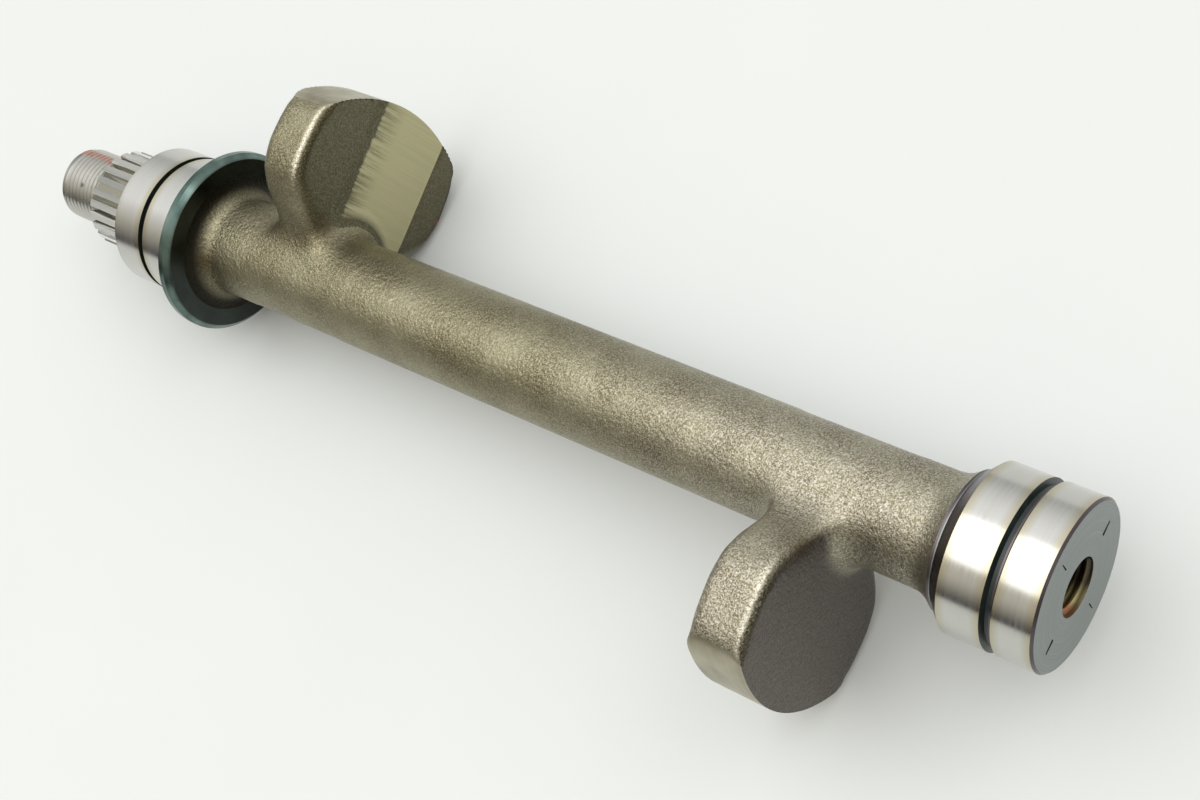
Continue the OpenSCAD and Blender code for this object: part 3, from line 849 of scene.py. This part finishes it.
for begin, way in WEIGHTS:
    for side in (-1, 1):
        middle = np.array((way * FLANK_CENTRE[0], side * FLANK_CENTRE[1]))
        far_off = np.hypot(points[:, 0] - middle[0], points[:, 1] - middle[1])
        on_it = (abs(far_off - FLANK_R) < CLOSE) & (out < WEIGHT_R + 0.1) & ~turned
        on_it &= (points[:, 1] * side < 0) & (points[:, 0] * way > FLANK_FROM)
        on_it &= (station > begin + LOBE_EDGE) & (station < begin + WEIGHT_T - LOBE_EDGE)
        flanks.append((middle, on_it))
corners = []
for begin in (NEAR_WEIGHT, FAR_WEIGHT):
    for face in (begin, begin + WEIGHT_T):
        corners.append((face, turned & (abs(station - face) < CLOSE)))
print("on the arcs", int(turned.sum()), "on the flanks", sum(int(on_it.sum()) for _, on_it in flanks))

# %% [markdown]
# ## Relaxing
# A few rounds take the steps out of the net, and after each one the true surfaces are set right again.
# Many more rounds follow at the roots of the weights alone, which makes the blends of the forging flow.
# The two ends stay where they are, because turned pieces meet them there.

# %% Relax the forging
ENDS_KEPT = 0.6             # the net stays as it is this near to its ends
RIM_W, RIM_SHARE = 2.0, 0.35    # the outer band of the weights moves by this share only
ROUNDS, ROOT_ROUNDS = 6, 36
ROOT_FADE = 6.0             # the flow at the roots fades out over this length
ends = (station < RING_END + ENDS_KEPT) | (station > FLANGE_AT - ENDS_KEPT)
free = np.where(ends, 0.0, np.where(at_weight & (out > WEIGHT_R - RIM_W), RIM_SHARE, 1.0))[:, None]
for _ in range(ROUNDS):
    points = relax(points, free, 1)
    reach = np.hypot(points[:, 0], points[:, 1])
    points[turned, :2] *= (WEIGHT_R / reach[turned])[:, None]
    for middle, on_it in flanks:
        spoke = points[on_it, :2] - middle
        points[on_it, :2] = middle + spoke * (FLANK_R / np.hypot(spoke[:, 0], spoke[:, 1]))[:, None]
    for face, corner in corners:
        points[corner, 2] = face
flow = np.clip((ROOT_TO - out) / ROOT_FADE, 0.0, 1.0) * (root_zone & ~turned)
points = relax(points, free * flow[:, None], ROOT_ROUNDS)
print("relaxed,", int(root_zone.sum()), "points where weight meets stem")

# %% [markdown]
# ## Corners of the weights
# Steel fills the corners of a forging die only in part, so the outline of a weight turns softly, both
# where the flank meets the turned arc and where it meets the shoulder. Each of these sides is an arc of
# a circle. The corner's new middle is where the two circles, shrunk by the corner radius, cross. Every
# point near the old outline then moves in by what the new outline loses there, so that the rounded
# edges of the faces keep their form.

# %% Round the corners of the weights
FLANK = (np.array((FLANK_CENTRE[0], -FLANK_CENTRE[1])), FLANK_R)
ARC = (np.zeros(2), WEIGHT_R)
SHOULDER_CORNER = np.array((13.15, 22.78))
ARC_CORNER = np.array((30.6, 22.6))
SHOULDER_ROUND, ARC_ROUND = 12.0, 6.0
STRAIGHT = 1000.0           # the shoulder is straight: a circle of a metre
SLANT = math.radians(60)    # its slope
SHOULDER = (SHOULDER_CORNER + STRAIGHT * np.array((math.sin(SLANT), -math.cos(SLANT))), STRAIGHT)
SKIN_IN, SKIN_OUT = 4, 3    # points move this far inside and outside the new outline, in mm
FADE = 3                    # and the move fades in over this length


def round_corner(co, corner, circles, radius):
    """Rounds the outline near a corner of two circles (middle, radius), alike on all four flanks."""
    (mid_a, r_a), (mid_b, r_b) = circles
    apart = np.hypot(*(mid_b - mid_a))
    toward = (mid_b - mid_a) / apart
    along = ((r_a - radius) ** 2 - (r_b - radius) ** 2 + apart ** 2) / (2 * apart)
    aside = math.sqrt((r_a - radius) ** 2 - along ** 2)
    choices = [mid_a + toward * along + np.array((-toward[1], toward[0])) * aside * s for s in (-1, 1)]
    pivot = min(choices, key=lambda c: np.hypot(*(c - corner)))
    way_a, way_b = (pivot - mid_a) / (r_a - radius), (pivot - mid_b) / (r_b - radius)
    middle_way = (way_a + way_b) / np.hypot(*(way_a + way_b))
    for begin, way in WEIGHTS:
        at = abs(station - begin - WEIGHT_T / 2) < WEIGHT_T / 2 + 1
        for side in (-1, 1):
            spoke = co[:, :2] * (way, side) - pivot
            size = np.maximum(np.hypot(spoke[:, 0], spoke[:, 1]), 1e-6)
            ray = spoke / size[:, None]
            near = at & (ray @ middle_way > way_a @ middle_way)
            near &= (size > radius - SKIN_IN) & (size < radius + SKIN_OUT)
            outline = []
            for mid, r in circles:
                b = ray[near] @ (pivot - mid)
                outline.append(-b + np.sqrt(b * b + r * r - (pivot - mid) @ (pivot - mid)))
            loss = (np.minimum(*outline) - radius) * np.clip((size[near] - radius + SKIN_IN) / FADE, 0, 1)
            co[near, :2] = (pivot + ray[near] * (size[near] - loss)[:, None]) * (way, side)
    print("corner of", radius, "mm about", pivot.round(2))


round_corner(points, ARC_CORNER, (ARC, FLANK), ARC_ROUND)
round_corner(points, SHOULDER_CORNER, (FLANK, SHOULDER), SHOULDER_ROUND)
# the net is evened out round each corner: how far, and how many rounds
for corner, wide, rounds in ((ARC_CORNER, 4.0, 6), (SHOULDER_CORNER, 8.0, 14)):
    off = np.hypot(abs(points[:, 0]) - corner[0], abs(points[:, 1]) - corner[1])
    points = relax(points, (np.clip((wide - off) / FADE, 0, 1) * at_weight)[:, None], rounds)

# %% [markdown]
# ## Machining after forging
# The relaxing softened the shallow strip on the far weight, so it is cut once more: the points of that
# face go to the strip's depth. A boolean would cut it as well, but moving points keeps the even net.
# Then each face gets its finish by where it lies and where it looks: on the turned arc, about the strip,
# or forged.

# %% Machine the strip and hand out the finishes
STRIP_REACH = 0.6           # points this near to the face are cut
STRIP_FROM = STEM_R + WEB_FILLET + 1
out = np.hypot(points[:, 0], points[:, 1])
in_strip = (abs(points[:, 2] - FAR_WEIGHT) < STRIP_REACH) & (out > STRIP_FROM) & (points[:, 0] < 0)
in_strip &= (points[:, 1] > STRIP_Y[0]) & (points[:, 1] < STRIP_Y[1])
points[in_strip, 2] = FAR_WEIGHT + STRIP_DEPTH
even.vertices.foreach_set("co", (points * MM).ravel())
even.name = "forging"
for finish in (forged, turned_rim, milled):
    even.materials.append(finish)
even.update()

FORGED, TURNED, MILLED = range(3)   # order of the finishes
slots = []
for poly in even.polygons:
    c = poly.center / MM
    n = poly.normal
    r = math.hypot(c.x, c.y)
    outward = (n.x * c.x + n.y * c.y) / max(r, 1e-6)
    on_face = abs(c.z - FAR_WEIGHT) < 1.0 and n.z < -0.6 and c.x < -STEM_R
    if r > WEIGHT_R - 0.5 and outward > 0.8:
        slots.append(TURNED)
    elif on_face and STRIP_Y[0] - 1 < c.y < STRIP_Y[1] + 3:
        slots.append(MILLED)
    else:
        slots.append(FORGED)
even.polygons.foreach_set("material_index", slots)
forging = place_piece("forging", even, crisp=38.0)
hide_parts("balance_shaft")
print("turned faces", slots.count(TURNED), "milled face", slots.count(MILLED))

# %% [markdown]
# ## Table
# The shaft lies on a plain white table. One large plane will do, with paint that is a little uneven over
# some centimetres, so that it doesn't look like paper.

# %% Table
TABLE = 4.0                 # metres
# gives the eye chalk white that takes soft shadows
floor_mat, tree, shader = new_material("white_painted_table")
where = add(tree, "TexCoord").outputs["Object"]
cloud = add(tree, "TexNoise", {"Vector": where, "Scale": per_mm(60.0), "Detail": 3.0})
tone = add(tree, "Mix", {0: cloud, 6: "#CDD0CE", 7: "#D2D4D2"}, data_type="RGBA")
wire(tree, shader, {"Base Color": tone, "Roughness": 0.6})
bpy.ops.mesh.primitive_plane_add(size=TABLE)
floor = bpy.context.object
floor.name = "table"
floor.data.materials.append(floor_mat)
print("table", floor.dimensions[:2])

# %% [markdown]
# ## Room and light
# On mirror-like journals the room is what is seen: the table, a dark horizon on the viewer's side, a grey
# one behind, and the light above. The room is a gradient of the direction alone, paler at the back than
# in front, which is easier to tune than real walls. The light is a large soft panel overhead, with a
# small one at the side.

# %% Room and light
ROOM_STRENGTH = 1.24
room = bpy.data.worlds.new("pale_room")
bpy.context.scene.world = room
room.use_nodes = True
tree = room.node_tree
where = add(tree, "TexCoord").outputs["Generated"]
way = add(tree, "SeparateXYZ", {0: where})
climb = add(tree, "MapRange", {0: way.outputs["Z"], 1: 0.1, 2: 0.72})
front = add(tree, "MapRange", {0: way.outputs["Y"], 1: -0.1, 2: -0.5})
dusk = add(tree, "MapRange", {0: way.outputs["Z"], 1: 0.03, 2: 0.5})
back_wall = add(tree, "Mix", {0: climb, 6: "#B9BBB9", 7: "#FFFFFF"}, data_type="RGBA")
front_wall = add(tree, "Mix", {0: dusk, 6: "#231E26", 7: "#C4C0B4"}, data_type="RGBA")
walls = add(tree, "Mix", {0: front, 6: back_wall, 7: front_wall}, data_type="RGBA")
wire(tree, tree.nodes["Background"], {"Color": walls, "Strength": ROOM_STRENGTH})


def panel(name, toward, distance, width, height, watts):
    """A soft light panel that looks at the shaft from a direction, distance in metres."""
    data = bpy.data.lights.new(name, "AREA")
    data.shape, data.size, data.size_y, data.energy = "RECTANGLE", width, height, watts
    lamp = bpy.data.objects.new(name, data)
    bpy.context.scene.collection.objects.link(lamp)
    way = Vector(toward).normalized()
    lamp.location = way * distance
    lamp.rotation_euler = (-way).to_track_quat("-Z", "Y").to_euler()
    print(name, "at", [round(c, 2) for c in lamp.location])


panel("overhead", (-0.16, -0.16, 0.97), 1.2, 1.25, 1.15, 7.5)
panel("side", (0.45, 0.35, 0.82), 1.2, 0.5, 0.4, 1.1)

# %% [markdown]
# ## Camera
# The camera stands where the picture was taken. Its place and its focal length, in pixels of the
# picture, were found from the outline of the shaft. The picture is tilted, so the camera is given by
# its eye, the way it looks and the way that is up for it, in place of angles.

# %% Camera
FRAME_W, FRAME_H = 1200, 800
FOCAL_PX = 1832.2
EYE = Vector((0.19096, -0.04798, 0.31485))
LOOK = Vector((-0.48743, 0.13819, -0.86215))
UP = Vector((-0.34120, 0.87875, 0.33375))
camera_data = bpy.data.cameras.new("camera")
camera_data.sensor_fit = "HORIZONTAL"
camera_data.sensor_width = 36.0
camera_data.lens = FOCAL_PX / FRAME_W * camera_data.sensor_width
camera_data.clip_start, camera_data.clip_end = 0.01, 20.0
camera = bpy.data.objects.new("camera", camera_data)
bpy.context.scene.collection.objects.link(camera)
right = LOOK.cross(UP).normalized()
stand = Matrix((right, right.cross(LOOK), -LOOK)).transposed().to_4x4()
stand.translation = EYE
camera.matrix_world = stand
bpy.context.scene.camera = camera
bpy.context.scene.view_settings.view_transform = "Standard"
print("lens", round(camera_data.lens, 2), "mm for", FRAME_W, "x", FRAME_H)
